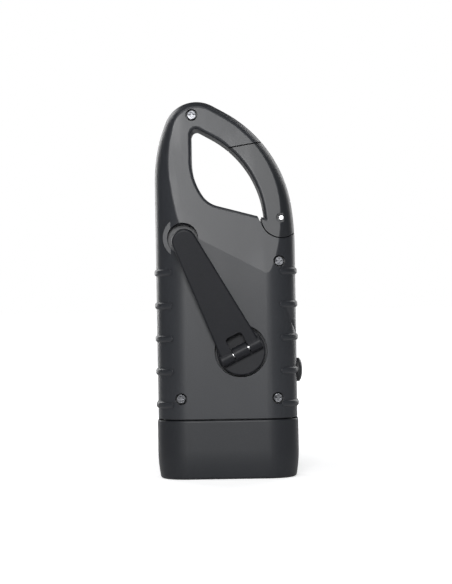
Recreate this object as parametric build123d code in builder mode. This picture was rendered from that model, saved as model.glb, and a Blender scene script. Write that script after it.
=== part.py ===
from build123d import *
import os
from math import atan2, cos, hypot, pi, radians, sin, sqrt, tan

# Hand crank flashlight with a carabiner top, in millimetres.
# X is to the right and Z up as the crank side is seen; that side faces -Y.
# The lamp points down: the origin is the centre of the lens rim, and the
# carabiner loop is at the top.

# ---- body: two shells that meet at y = 0 --------------------------------
body_width = 50.0
body_depth = 28.0
half_width = body_width / 2
half_depth = body_depth / 2
top_z = 135.0
side_round = 11.0
wall = 2.0
shell_bottom_z = 21.5
parting_width = 0.4
parting_depth = 0.25
parting_gap = 0.02
nib_z, nib_radius, nib_proud = 31.3, 1.4, 0.45
flank_radius, flank_turn = 100.0, 8.0
shoulder_radius, shoulder_turn = 47.0, 53.0
crown_radius, crown_turn = 12.0, 97.0
cheek_radius = 57.0
facet_lean_x, facet_lean_z, facet_start = 0.05, 0.095, 7.66
cavity_top_z = 78.2

# ---- carabiner loop and gate ---------------------------------------------
loop_thickness = 10.2
loop_left_x = 13.3 - half_width
loop_side_z = 114.0
loop_side_radius, loop_side_turn = 24.0, 33.0
loop_corner_radius = 9.0
loop_floor_slope = 15.0
loop_edge_round = 1.1
pocket_depth = 7.0
gate_pin_x, gate_pin_z = half_width - 5.0, 92.7
gate_pin_radius = 1.0
gate_pin_head_radius = 1.6
gate_end_radius = 7.0
gate_gap = 0.35
gate_swing = 25.0
gate_foot_rise = 7.3
split_outer = (half_width - 12.5, top_z - 15.1)
split_inner = (half_width - 20.1, top_z - 16.4)
tongue_half = 5.0
tongue_radius = 6.75
tongue_gap = 0.45
tongue_foot = 9.0
tongue_set = 1.0
fork_side_gap = 0.3
spring_half = 1.6
spring_wire = 0.3
spring_turns = 4
spring_nest_radius = 3.6
spring_leg_in, spring_leg_out = 0.8, 2.6

# ---- head -----------------------------------------------------------------
head_over_x, head_over_y = 0.3, 0.1
head_width = body_width + 2 * head_over_x
head_depth = body_depth + 2 * head_over_y
head_height = 21.0
head_taper_height = 10.0
rim_setback = 1.0
rim_width = head_width - 2 * rim_setback
rim_depth = head_depth - 2 * rim_setback
rim_edge_round = 1.2
head_wall = 1.9
rim_lip = 1.0
lens_seat_wall = 2.3
lens_lip = 1.5
lens_width = head_width - 2 * lens_seat_wall
lens_depth = head_depth - 2 * lens_seat_wall
lens_window_width = lens_width - 2 * lens_lip
lens_window_depth = lens_depth - 2 * lens_lip
lens_thickness = 1.6
optic_gap = 0.1
reflector_height = 9.9
lamp_pitch = 14.6
cup_radius = 7.0
led_radius = 2.5
led_height = 6.5
board_thickness = 1.2
neck_gap = 0.2
neck_end_z = 14.2
seal_z = 17.0
seal_height = 1.6
seal_depth = 1.0
snap_z = 15.0
snap_height = 0.3

# ---- grip ribs -------------------------------------------------------------
rib_first_z = 26.5
rib_pitch = 11.8
rib_count = 5
rib_height = 2.5
rib_proud = 0.6
rib_inner_x = 19.3

# ---- crank ------------------------------------------------------------------
crank_x, crank_z = 5.0, 45.5
crank_lift = 6.5
recess_radius = 9.35
recess_floor = 3.4
disc_radius = 8.6
disc_thickness = 3.2
disc_proud = 0.2
hinge_height = 2.5
hinge_radius = 2.3
hinge_pin_radius = 1.0
knuckle_half = 2.8
ear_gap = 0.4
ear_outer = 7.75
arm_tip_radius = 4.35
arm_base_half = 7.3
arm_thickness = 3.6
arm_slot_end = 6.6
arm_slot_corner = 1.2
arm_edge_round = 0.7
knob_radius = 3.75
knob_height = 4.5
knob_pin_radius = 1.2
run_fit = 0.05
hold_fit = 0.02
well_x, well_z = 9.9 - half_width, 85.8
well_radius = 5.5
well_floor = 5.0
well_lip_x, well_lip_z = well_x + 0.5, well_z + 0.2
well_lip_radius = 7.6
well_lip_drop = 1.4
well_reach = 1.234
arm_length = hypot(crank_x - well_x, well_z - crank_z) - well_reach
lean = atan2(crank_x - well_x, well_z - crank_z)

# ---- gear train: three steps of speed between crank and generator ----------
module = 0.5
pressure_angle = 25.0
tooth_thinning = 0.09
centre_slack = 0.05
large_teeth = 48
wheel_teeth = 36
pinion_teeth = 12
first_step_angle = 199.9
second_step_angle = 85.0
third_step_angle = 55.0
drive_gear_y, drive_gear_face = -7.0, 2.6
shaft_radius = 3.0
axle_radius = 0.8
plate_y, plate_thickness = 2.2, 1.4

# ---- generator ---------------------------------------------------------------
can_radius = 10.0
can_length = 8.0
can_wall = 0.8
magnet_radius = 6.2
coil_inner, coil_outer = 7.0, 8.9
rotor_shaft_radius = 0.75

# ---- switch, board and cell ----------------------------------------------------
button_z = 38.1
button_radius = 4.25
button_proud = 2.0
button_travel = 1.2
button_gap = 0.3
main_board_low = (1.0, 33.0)
main_board_high = (half_width - 5.4, 50.0)
main_board_y = 4.0
cell_x, cell_z, cell_radius, cell_thickness = -9.0, 41.0, 10.0, 3.2
cell_gap = 0.15
contact_thickness = 0.3
capacitor_x, capacitor_z, capacitor_radius, capacitor_height = 5.5, 42.0, 2.0, 4.5
chips = [(11.5, 38.0, 5.0, 4.0, 1.5), (12.5, 44.5, 2.5, 1.5, 1.2), (14.2, 34.5, 2.6, 1.2, 1.0)]
lead_radius = 0.45

# ---- screws --------------------------------------------------------------------
screw_head_radius = 1.75
screw_head_height = 1.3
screw_shank_radius = 1.1
screw_hole_gap = 0.35
screw_boss_radius = 3.0
loop_screw = (13.7 - half_width, top_z - 5.2, -8.2)
shell_screws = [loop_screw, (half_width - 5.9, 77.2, -9.9), (8.5 - half_width, 28.7, -11.4),
                (half_width - 7.1, 28.6, -10.9)]
cross_slot = 0.55
cross_depth = 0.85
plate_posts = [(7.0 - half_width, 62.0), (9.6, 70.6), (-2.0, 30.0)]
plate_post_radius = 2.5
plate_screw = {"head_radius": 1.7, "shank_radius": 0.78, "length": 6.0}
board_posts = [(9.5, 47.3), (17.6, 47.3), (7.0, 35.4)]
board_post_radius = 2.0
board_screw_radius = 0.68

crank = (crank_x, crank_z)

os.makedirs("parts", exist_ok=True)


def front(y):
    """Plane seen from the crank side at depth y: local x is X, local y is Z."""
    return Plane.XZ.offset(-y)


def slab(sketch, y_low, y_high):
    """A flat piece with the given XZ outline between two depths."""
    with BuildPart() as piece:
        with BuildSketch(front(y_high)):
            add(sketch)
        extrude(amount=y_high - y_low)
    return piece.part


def rod(x, z, radius, y_low, y_high):
    """A round bar along Y."""
    with BuildSketch() as circle:
        with Locations((x, z)):
            Circle(radius)
    return slab(circle.sketch, y_low, y_high)


def ring(x, z, outer, inner, y_low, y_high):
    """A tube along Y."""
    with BuildSketch() as annulus:
        with Locations((x, z)):
            Circle(outer)
            Circle(inner, mode=Mode.SUBTRACT)
    return slab(annulus.sketch, y_low, y_high)


def block(low, high):
    """A box between two corners."""
    centre = [(a + b) / 2 for a, b in zip(low, high)]
    size = [b - a for a, b in zip(low, high)]
    return Pos(*centre) * Box(*size, mode=Mode.PRIVATE)


# ==== body outline ==============================================================
def turn_step(radius, start, end):
    """Displacement along an arc that turns left from one heading to another."""
    return (radius * (cos(radians(end)) - cos(radians(start))),
            radius * (sin(radians(end)) - sin(radians(start))))


def body_outline():
    """Outline of the body: straight sides, a sloping shoulder and a round crown."""
    turn_a = flank_turn
    turn_b = turn_a + shoulder_turn
    turn_c = turn_b + crown_turn
    steps = [turn_step(flank_radius, 0, turn_a), turn_step(shoulder_radius, turn_a, turn_b),
             turn_step(crown_radius, turn_b, turn_c), turn_step(cheek_radius, turn_c, 180)]
    straight = (body_width + sum(s[0] for s in steps)) / sin(radians(turn_b))
    rise = (steps[0][1] + steps[1][1] + straight * cos(radians(turn_b))
            + crown_radius * (1 - sin(radians(turn_b))))
    start_z = top_z - rise
    with BuildSketch() as outline:
        with BuildLine():
            base = Line((-half_width, shell_bottom_z), (half_width, shell_bottom_z))
            right = Line(base @ 1, (half_width, start_z))
            flank = JernArc(right @ 1, right % 1, flank_radius, flank_turn)
            shoulder = JernArc(flank @ 1, flank % 1, shoulder_radius, shoulder_turn)
            slope = Line(shoulder @ 1, shoulder @ 1 + (shoulder % 1) * straight)
            crown = JernArc(slope @ 1, slope % 1, crown_radius, crown_turn)
            cheek = JernArc(crown @ 1, crown % 1, cheek_radius, 180 - turn_c)
            Line(cheek @ 1, base @ 0)
        make_face()
    return outline.sketch


def loop_hole(grow=0.0):
    """Opening of the carabiner loop: the outline drawn in, cut by its left side and floor."""
    far_x = 2 * half_width
    with BuildSketch() as hole:
        add(body_outline())
        offset(amount=-loop_thickness, kind=Kind.INTERSECTION)
        with BuildSketch(mode=Mode.INTERSECT):
            with BuildLine():
                side = Line((loop_left_x, 2 * top_z), (loop_left_x, loop_side_z))
                curve = JernArc(side @ 1, side % 1, loop_side_radius, loop_side_turn)
                corner = JernArc(curve @ 1, curve % 1, loop_corner_radius,
                                 90 - loop_side_turn - loop_floor_slope)
                floor = Line(corner @ 1, corner @ 1 + (corner % 1) * far_x)
                Polyline(floor @ 1, (far_x, 2 * top_z), side @ 0)
            make_face()
        if grow:
            offset(amount=grow)
    return hole.sketch


body_face = body_outline()
hole_face = loop_hole()


def disc_sketch(x, z, radius):
    """A circle as a sketch, in front view coordinates."""
    with BuildSketch() as circle:
        with Locations((x, z)):
            Circle(radius)
    return circle.sketch


def polygon(*points):
    """A straight-sided area in front view coordinates."""
    with BuildSketch() as area:
        with BuildLine():
            Polyline(*points, close=True)
        make_face()
    return area.sketch


def along_x(y, z, radius, x_low, x_high):
    """A round bar along X."""
    with BuildPart() as bar:
        with BuildSketch(Plane.YZ.offset(x_low)):
            with Locations((y, z)):
                Circle(radius)
        extrude(amount=x_high - x_low)
    return bar.part


def upright(width, depth, corner, z_low, z_high):
    """A bar along Z with a round-cornered section, centred on the lamp axis."""
    with BuildPart() as bar:
        with BuildSketch(Plane.XY.offset(z_low)):
            RectangleRounded(width, depth, corner)
        extrude(amount=z_high - z_low)
    return bar.part


# ==== gate, its room and the tongue it turns on, in front view =======================
pin = (gate_pin_x, gate_pin_z)
far = 60.0
loop_middle = (0.0, top_z - 25.0)
gate_foot_z = gate_pin_z + gate_foot_rise
split_lean = atan2(split_outer[1] - split_inner[1], split_outer[0] - split_inner[0])


def split_height(x, gap):
    """Height of the line where the gate meets the loop's nose, less a gap."""
    return split_inner[1] + (x - split_inner[0]) * tan(split_lean) - gap / cos(split_lean)


def gate_space(end_radius, gap):
    """The gate's side of the loop: up from its pin to the nose, with a round lower end."""
    left = gate_pin_x - end_radius
    with BuildSketch() as space:
        add(polygon((left, gate_pin_z), (far, gate_pin_z), (far, split_height(far, gap)),
                    (loop_middle[0], split_height(loop_middle[0], gap)), loop_middle,
                    (left, gate_foot_z)))
        add(disc_sketch(*pin, end_radius))
    return space.sketch


def gate_room():
    """What the shells leave open for the gate, also when it is swung inwards."""
    reach = gate_end_radius + gate_gap
    swing = radians(gate_swing)
    touch = (gate_pin_x - reach * cos(swing), gate_pin_z - reach * sin(swing))
    inner = (touch[0] - loop_thickness * sin(swing), touch[1] + loop_thickness * cos(swing))
    with BuildSketch() as room:
        add(gate_space(reach, 0.0))
        add(polygon(pin, touch, inner, (gate_pin_x, inner[1])))
    return room.sketch


def tongue():
    """The part of the body that carries the gate's pin, seen from the front."""
    with BuildSketch() as shape:
        add(disc_sketch(*pin, tongue_radius))
        with Locations((gate_pin_x + tongue_set, gate_pin_z - tongue_foot / 2)):
            Rectangle(tongue_foot + tongue_set, tongue_foot)
    return shape.sketch


# ==== outer form of the body, both shells and the gate together =======================
facet_z = facet_start / facet_lean_z
front_facet = Plane(origin=(0, -half_depth, facet_z), z_dir=(facet_lean_x, -1, facet_lean_z))
rear_facet = Plane(origin=(0, half_depth, facet_z), z_dir=(facet_lean_x, 1, facet_lean_z))

with BuildPart() as rib_band:
    with BuildSketch():
        RectangleRounded(body_width + 2 * rib_proud, body_depth + 2 * rib_proud, side_round + rib_proud)
    extrude(amount=rib_height / 2, both=True)
    fillet(rib_band.edges().filter_by(Plane.XY), rib_height / 2 - 0.3)
    with BuildSketch(front(far)):
        for side in (-1, 1):
            with Locations((side * (rib_inner_x + body_width / 2), 0)):
                SlotOverall(body_width, rib_height)
    extrude(amount=2 * far, mode=Mode.INTERSECT)

with BuildPart() as ribs:
    with Locations(*[(0, 0, rib_first_z + i * rib_pitch) for i in range(rib_count)]):
        add(rib_band.part)
    add(along_x(0, button_z, button_radius + 1.4, half_width / 2, far), mode=Mode.SUBTRACT)


def on_loop_rim(edge):
    """True for the edges where the loop's wall meets the front and rear faces."""
    middle = edge.center()
    across = abs(edge.tangent_at(0.5).Y) < 0.9
    inside = loop_left_x - 1 < middle.X < gate_pin_x - 5 and cavity_top_z + wall < middle.Z
    return inside and across and middle.Z < top_z - loop_thickness + 3 and abs(middle.Y) > side_round / 2


with BuildSketch() as inset:
    add(body_face)
    offset(amount=-parting_depth)
body_face_inset = inset.sketch

with BuildPart() as body_form:
    add(slab(body_face, -half_depth, half_depth))
    broad_edges = body_form.edges().filter_by(
        lambda e: abs(abs(e.center().Y) - half_depth) < 0.01 and e.center().Z > shell_bottom_z + 0.01)
    fillet(broad_edges, side_round)
    split(bisect_by=front_facet, keep=Keep.BOTTOM)
    split(bisect_by=rear_facet, keep=Keep.BOTTOM)
    add(slab(hole_face, -far, far), mode=Mode.SUBTRACT)
    fillet(body_form.edges().filter_by(on_loop_rim), loop_edge_round)
    add(ribs.part)
    with Locations((half_width + nib_proud - nib_radius, 0, nib_z)):
        Sphere(nib_radius)
    with BuildSketch(front(parting_width / 2)):
        Rectangle(4 * far, 4 * far)
        add(body_face_inset, mode=Mode.SUBTRACT)
    extrude(amount=parting_width, mode=Mode.SUBTRACT)
form = body_form.solids().sort_by(SortBy.VOLUME)[-1]

# ==== gear train, seen from the front =================================================
def next_centre(centre, teeth_a, teeth_b, angle):
    """Centre of a gear that meshes with another one in a given direction."""
    distance = module * (teeth_a + teeth_b) / 2 + centre_slack
    return (centre[0] + distance * cos(radians(angle)), centre[1] + distance * sin(radians(angle)))


def meshing_phase(phase, teeth_a, teeth_b, angle):
    """Angle of a tooth of the second gear when a gap of it faces a tooth of the first."""
    turned = ((angle - phase) * teeth_a / 360) % 1
    return angle + 180 - (0.5 - turned) * 360 / teeth_b


first_centre = next_centre(crank, large_teeth, pinion_teeth, first_step_angle)
second_centre = next_centre(first_centre, wheel_teeth, pinion_teeth, second_step_angle)
rotor_centre = next_centre(second_centre, wheel_teeth, pinion_teeth, third_step_angle)
first_phase = meshing_phase(0, large_teeth, pinion_teeth, first_step_angle)
second_phase = meshing_phase(0, wheel_teeth, pinion_teeth, second_step_angle)
rotor_phase = meshing_phase(0, wheel_teeth, pinion_teeth, third_step_angle)


def gear_face(centre, teeth, phase):
    """Outline of a gear with straight tooth flanks."""
    pitch_radius = module * teeth / 2
    tip = pitch_radius + 0.9 * module
    root = pitch_radius - 1.2 * module
    half_tooth = pi * module / 4 - tooth_thinning
    slope = tan(radians(pressure_angle))
    half_tip = half_tooth - (tip - pitch_radius) * slope
    half_root = min(half_tooth + (pitch_radius - root) * slope, 0.95 * pi * root / teeth)
    points = []
    for i in range(teeth):
        middle = radians(phase) + 2 * pi * i / teeth
        for radius, half in ((root, -half_root), (tip, -half_tip), (tip, half_tip), (root, half_root)):
            angle = middle + half / radius
            points.append((centre[0] + radius * cos(angle), centre[1] + radius * sin(angle)))
    return polygon(*points)


pinion_y = drive_gear_y - 0.2
wheel_one_y = drive_gear_y + drive_gear_face + 0.8
wheel_face = 2.0
wheel_two_y = wheel_one_y + wheel_face + 0.8
hub_radius = 1.8
hub_end_y = plate_y - 0.2
bore = axle_radius + run_fit

with BuildPart() as drive_gear:
    add(slab(gear_face(crank, large_teeth, 0), drive_gear_y, drive_gear_y + drive_gear_face))
    add(rod(*crank, shaft_radius + 1.4, drive_gear_y, drive_gear_y + drive_gear_face + 0.4))
    flat_half = shaft_radius * 0.7
    with BuildSketch(front(drive_gear_y + far)):
        with Locations(crank):
            Rectangle(2 * flat_half + hold_fit, 2 * flat_half + hold_fit)
    extrude(amount=2 * far, mode=Mode.SUBTRACT)
    with BuildSketch(front(drive_gear_y + far)):
        with Locations(crank):
            with PolarLocations(large_teeth * module / 2 * 0.66, 6):
                Circle(2.2)
    extrude(amount=2 * far, mode=Mode.SUBTRACT)
drive_gear.part.label = "drive_gear"
export_step(drive_gear.part, "parts/drive_gear.step")

with BuildPart() as gear_1:
    add(slab(gear_face(first_centre, pinion_teeth, first_phase), pinion_y, wheel_one_y))
    add(slab(gear_face(first_centre, wheel_teeth, 0), wheel_one_y, wheel_one_y + wheel_face))
    add(rod(*first_centre, hub_radius, wheel_one_y, hub_end_y))
    add(rod(*first_centre, bore, -far, far), mode=Mode.SUBTRACT)
gear_1.part.label = "gear_1"
export_step(gear_1.part, "parts/gear_1.step")

with BuildPart() as gear_2:
    add(slab(gear_face(second_centre, pinion_teeth, second_phase), wheel_one_y - 0.2, wheel_two_y))
    add(slab(gear_face(second_centre, wheel_teeth, 0), wheel_two_y, wheel_two_y + wheel_face))
    add(rod(*second_centre, hub_radius, wheel_two_y, hub_end_y))
    add(rod(*second_centre, bore, -far, far), mode=Mode.SUBTRACT)
gear_2.part.label = "gear_2"
export_step(gear_2.part, "parts/gear_2.step")

# ==== crank shaft, disc, arm and knob ==================================================
boss_end_y = drive_gear_y - 0.4
recess_y = -half_depth + recess_floor
disc_top_y = -half_depth - disc_proud
disc_back_y = disc_top_y + disc_thickness
hinge_y = -half_depth - hinge_height
across = Vector(cos(lean), 0, sin(lean))
hinge_point = Vector(crank_x, hinge_y, crank_z)
outward = Vector(0, -1, 0)
towards_tip = Vector(-sin(lean), 0, cos(lean))
lift = radians(crank_lift)
arm_plane = Plane(origin=hinge_point, x_dir=across, z_dir=outward * cos(lift) - towards_tip * sin(lift))


def along_hinge(radius, low, high):
    """A round bar along the arm's hinge."""
    with BuildPart() as bar:
        with BuildSketch(Plane(origin=hinge_point + across * low, z_dir=across)):
            Circle(radius)
        extrude(amount=high - low)
    return bar.part


shaft_head_y = disc_back_y - 1.8
with BuildPart() as crank_shaft:
    add(rod(*crank, shaft_radius, shaft_head_y, drive_gear_y - 0.1))
    with BuildSketch(front(drive_gear_y + drive_gear_face)):
        with Locations(crank):
            Rectangle(2 * flat_half, 2 * flat_half)
    extrude(amount=drive_gear_face + 0.1)
    add(rod(*crank, 0.8, drive_gear_y - 1.5, far), mode=Mode.SUBTRACT)
crank_shaft.part.label = "crank_shaft"
export_step(crank_shaft.part, "parts/crank_shaft.step")

gear_back_y = drive_gear_y + drive_gear_face + 0.4
with BuildPart() as gear_screw:
    add(rod(*crank, 0.78, drive_gear_y - 1.4, gear_back_y + 0.6))
    add(rod(*crank, 1.6, gear_back_y + 0.5, gear_back_y + 1.5))
    fillet(gear_screw.edges().group_by(Axis.Y)[-1], 0.4)
    with BuildSketch(front(far)):
        with Locations(crank):
            Rectangle(1.9, 0.4)
            Rectangle(0.4, 1.9)
    extrude(amount=far - gear_back_y - 0.9, mode=Mode.SUBTRACT)
gear_screw.part.label = "gear_screw"
export_step(gear_screw.part, "parts/gear_screw.step")

with BuildPart() as gear_washer:
    add(ring(*crank, 2.9, 0.85, gear_back_y + 0.02, gear_back_y + 0.48))
gear_washer.part.label = "gear_washer"
export_step(gear_washer.part, "parts/gear_washer.step")

with BuildPart() as crank_disc:
    add(rod(*crank, disc_radius, disc_top_y, disc_back_y))
    fillet(crank_disc.edges().group_by(Axis.Y)[0], 0.5)
    add(along_hinge(hinge_radius, -knuckle_half, knuckle_half))
    with BuildSketch(Plane(origin=(crank_x, disc_top_y + 0.3, crank_z), x_dir=across, z_dir=(0, -1, 0))):
        Rectangle(2 * knuckle_half, 2 * hinge_radius)
    extrude(amount=disc_top_y + 0.3 - hinge_y)
    for side in (-1, 1):
        low, high = sorted((side * (knuckle_half + 0.1), side * (ear_outer + ear_gap)))
        add(along_hinge(hinge_radius + 0.35, low, high), mode=Mode.SUBTRACT)
    add(along_hinge(hinge_pin_radius + run_fit, -far, far), mode=Mode.SUBTRACT)
    add(rod(*crank, shaft_radius + hold_fit, shaft_head_y - hold_fit, far), mode=Mode.SUBTRACT)
crank_disc.part.label = "crank_disc"
export_step(crank_disc.part, "parts/crank_disc.step")

knob_top = arm_thickness / 2 + 0.3
with BuildPart() as crank_arm:
    with BuildSketch(arm_plane):
        with Locations((0, 1.0)):
            Rectangle(2 * arm_base_half, 2.0)
        with Locations((0, arm_length)):
            Circle(arm_tip_radius)
        make_hull()
    extrude(amount=arm_thickness / 2, both=True)
    outer_edges = crank_arm.edges().filter_by(
        lambda e: arm_plane.to_local_coords(e.center()).Z > arm_thickness / 2 - 0.05
        and arm_plane.to_local_coords(e.center()).Y > 0.5)
    fillet(outer_edges, arm_edge_round)
    with BuildSketch(arm_plane.offset(-far)):
        with Locations((0, arm_slot_end - far / 2)):
            RectangleRounded(2 * (knuckle_half + ear_gap), far, arm_slot_corner)
    extrude(amount=2 * far, mode=Mode.SUBTRACT)
    for side in (-1, 1):
        low, high = sorted((side * (knuckle_half + ear_gap), side * ear_outer))
        add(along_hinge(hinge_radius, low, high))
    add(along_hinge(hinge_pin_radius + hold_fit, -far, far), mode=Mode.SUBTRACT)
    with BuildSketch(arm_plane.offset(arm_thickness / 2 - 1.0)):
        with Locations((0, arm_length)):
            Circle(knob_pin_radius + hold_fit)
    extrude(amount=-far, mode=Mode.SUBTRACT)
crank_arm.part.label = "crank_arm"
export_step(crank_arm.part, "parts/crank_arm.step")

with BuildPart() as hinge_pin:
    add(along_hinge(hinge_pin_radius, -ear_outer + 0.1, ear_outer - 0.1))
    chamfer(hinge_pin.edges().filter_by(GeomType.CIRCLE), 0.2)
hinge_pin.part.label = "hinge_pin"
export_step(hinge_pin.part, "parts/hinge_pin.step")

knob_low = -knob_top - knob_height
knob_middle = -knob_top - knob_height / 2
rivet_depth = 1.3
knob_plane = Plane(origin=arm_plane.from_local_coords(Vector(0, arm_length, 0)),
                   x_dir=arm_plane.x_dir, z_dir=arm_plane.y_dir)
knob_axis = Axis(knob_plane.origin, arm_plane.z_dir)

with BuildPart() as crank_knob:
    with BuildSketch(knob_plane):
        with BuildLine():
            inner = knob_pin_radius + run_fit
            start = Line((inner, knob_top), (knob_radius - 0.5, knob_top))
            edge = Line((knob_radius, knob_top + 0.5), (knob_radius, knob_top + 1.0))
            Line(start @ 1, edge @ 0)
            ThreePointArc(edge @ 1, (knob_radius - 0.35, knob_top + knob_height / 2),
                          (knob_radius, knob_top + knob_height - 1.0))
            Polyline((knob_radius, knob_top + knob_height - 1.0),
                     (knob_radius, knob_top + knob_height - 0.6),
                     (knob_radius - 0.6, knob_top + knob_height),
                     (2.5, knob_top + knob_height),
                     (2.5, knob_top + knob_height - rivet_depth),
                     (inner, knob_top + knob_height - rivet_depth),
                     (inner, knob_top))
        make_face()
    revolve(axis=knob_axis)
crank_knob.part.label = "crank_knob"
export_step(crank_knob.part, "parts/crank_knob.step")

with BuildPart() as knob_pin:
    with BuildSketch(knob_plane):
        with BuildLine():
            foot = knob_top + knob_height - rivet_depth + run_fit
            Polyline((0, -arm_thickness / 2 + 1.05), (knob_pin_radius, -arm_thickness / 2 + 1.05),
                     (knob_pin_radius, foot), (2.3, foot), (2.3, foot + 0.5),
                     (1.6, foot + 1.0), (0, foot + 1.0), close=True)
        make_face()
    revolve(axis=knob_axis)
knob_pin.part.label = "knob_pin"
export_step(knob_pin.part, "parts/knob_pin.step")

# ==== shells ============================================================================
plate_back_y = plate_y + plate_thickness
floor_top_z = shell_bottom_z + wall
neck_width = head_width - 2 * head_wall - 2 * neck_gap
neck_depth = head_depth - 2 * head_wall - 2 * neck_gap
neck_round = side_round - head_wall
neck_bore = (neck_width - 2 * wall, neck_depth - 2 * wall, neck_round - wall)
shank_end_y = 7.0
cradle_y = 6.6
cradle_wall = 1.3
cell_back_y = cradle_y + cell_thickness - 0.4

cavity = upright(body_width - 2 * wall, body_depth - 2 * wall, side_round - wall, floor_top_z, cavity_top_z)
throat = upright(*neck_bore, neck_end_z - 1, floor_top_z + 1)
neck = upright(neck_width, neck_depth, neck_round, neck_end_z, shell_bottom_z + 0.5)
seal_groove = (upright(neck_width + 2, neck_depth + 2, neck_round, seal_z, seal_z + seal_height)
               - upright(neck_width - 2 * seal_depth, neck_depth - 2 * seal_depth,
                         neck_round - seal_depth, 0, far))
snap_groove = (upright(neck_width + 2, neck_depth + 2, neck_round, snap_z - 0.2, snap_z + 1.0)
               - upright(neck_width - 0.8, neck_depth - 0.8, neck_round - 0.4, 0, far))

with BuildSketch() as pocket_face:
    add(body_face)
    offset(amount=-wall - 0.2)
    add(loop_hole(wall + 0.2), mode=Mode.SUBTRACT)
    with Locations((loop_left_x / 2 - half_width / 2, (top_z + cavity_top_z) / 2 + wall)):
        Rectangle(half_width - loop_left_x / 2 - 4, top_z - cavity_top_z, mode=Mode.INTERSECT)
    with Locations(loop_screw[:2]):
        Circle(screw_boss_radius, mode=Mode.SUBTRACT)
loop_pocket = slab(pocket_face.sketch, -pocket_depth, pocket_depth)

room_face = gate_room()
tongue_face = tongue()
with BuildSketch() as fork_cut:
    add(room_face)
    add(tongue_face, mode=Mode.SUBTRACT)
spring_nest = rod(*pin, spring_nest_radius, -spring_half, spring_half)
spring_leg = tongue_radius - 0.75
leg_slot = block((gate_pin_x - spring_leg_out, -spring_half, gate_pin_z - spring_leg),
                 (gate_pin_x - spring_leg_in, spring_half, gate_pin_z))
leg_way = block((gate_pin_x + spring_leg_in, -spring_half, gate_pin_z),
                (gate_pin_x + spring_leg_out, spring_half, gate_pin_z + far))

button_bore = along_x(0, button_z, button_radius + button_gap, half_width - 2 * wall, far)


def shell_half(outer_side):
    """One half of the hollow body, before its own bosses and cuts; -1 is the crank side."""
    with BuildPart() as half:
        add(form)
        add(neck)
        add(cavity, mode=Mode.SUBTRACT)
        add(throat, mode=Mode.SUBTRACT)
        add(loop_pocket, mode=Mode.SUBTRACT)
        add(seal_groove, mode=Mode.SUBTRACT)
        add(snap_groove, mode=Mode.SUBTRACT)
        near = outer_side * parting_gap / 2
        split(bisect_by=front(near), keep=Keep.TOP if outer_side < 0 else Keep.BOTTOM)
    return half.part


# What the gate, its pin and its spring need free in the shells.
gate_cutter = (slab(fork_cut.sketch, -far, far) + slab(room_face, -far, -tongue_half)
               + slab(room_face, tongue_half, far) + spring_nest + leg_slot + leg_way)
front_pin_end = -11.0

with BuildPart() as front_inner:
    for x, z, seat_y in shell_screws:
        add(rod(x, z, screw_boss_radius, seat_y - 3, -parting_gap / 2))
    add(rod(*crank, recess_radius + 1.6, -half_depth, recess_y + wall))
    add(rod(*crank, shaft_radius + 1.6, recess_y, boss_end_y))
    add(rod(*first_centre, 1.9, -half_depth, pinion_y - 0.4))
    add(rod(*second_centre, 1.9, -half_depth, wheel_one_y - 0.6))
    for x, z in plate_posts:
        add(rod(x, z, plate_post_radius, -half_depth, plate_y - hold_fit))
    add(form, mode=Mode.INTERSECT)

with BuildPart() as front_shell:
    add(shell_half(-1))
    add(front_inner.part)
    add(rod(well_lip_x, well_lip_z, well_lip_radius, -half_depth + well_lip_drop, -half_depth + well_floor))
    add(rod(well_x, well_z, well_radius, -far, -half_depth + well_floor), mode=Mode.SUBTRACT)
    add(rod(*crank, recess_radius, -far, recess_y), mode=Mode.SUBTRACT)
    add(rod(*crank, shaft_radius + run_fit, -far, 0), mode=Mode.SUBTRACT)
    add(rod(*first_centre, axle_radius + hold_fit, -half_depth + wall + 0.4, 0), mode=Mode.SUBTRACT)
    add(rod(*second_centre, axle_radius + hold_fit, -half_depth + wall + 0.4, 0), mode=Mode.SUBTRACT)
    for x, z in plate_posts:
        add(rod(x, z, plate_screw["shank_radius"] + hold_fit, plate_y - plate_screw["length"] - 1, far),
            mode=Mode.SUBTRACT)
    for x, z, seat_y in shell_screws:
        add(rod(x, z, screw_shank_radius + 0.2, -far, far), mode=Mode.SUBTRACT)
        add(rod(x, z, screw_head_radius + screw_hole_gap, -far, seat_y), mode=Mode.SUBTRACT)
    add(gate_cutter, mode=Mode.SUBTRACT)
    add(rod(*pin, gate_pin_radius + hold_fit, -far, far), mode=Mode.SUBTRACT)
    add(button_bore, mode=Mode.SUBTRACT)
front_shell.part.label = "front_shell"
export_step(front_shell.part, "parts/front_shell.step")

with BuildPart() as rear_inner:
    for x, z, seat_y in shell_screws:
        add(rod(x, z, screw_boss_radius, parting_gap / 2, half_depth))
    add(rod(cell_x, cell_z, cell_radius + cell_gap + cradle_wall, cradle_y, half_depth))
    for x, z in board_posts:
        add(rod(x, z, board_post_radius, main_board_y + board_thickness + hold_fit, half_depth))
    add(form, mode=Mode.INTERSECT)

with BuildPart() as rear_shell:
    add(shell_half(1))
    add(rear_inner.part)
    add(rod(cell_x, cell_z, cell_radius + cell_gap, 0, cell_back_y), mode=Mode.SUBTRACT)
    for x, z in board_posts:
        add(rod(x, z, board_screw_radius + hold_fit, 0, main_board_y + board_thickness + 5),
            mode=Mode.SUBTRACT)
    for x, z, seat_y in shell_screws:
        add(rod(x, z, screw_shank_radius + hold_fit, 0, shank_end_y + 0.5), mode=Mode.SUBTRACT)
    add(gate_cutter, mode=Mode.SUBTRACT)
    add(rod(*pin, gate_pin_radius + hold_fit, -far, far), mode=Mode.SUBTRACT)
    add(button_bore, mode=Mode.SUBTRACT)
rear_shell.part.label = "rear_shell"
export_step(rear_shell.part, "parts/rear_shell.step")


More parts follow.
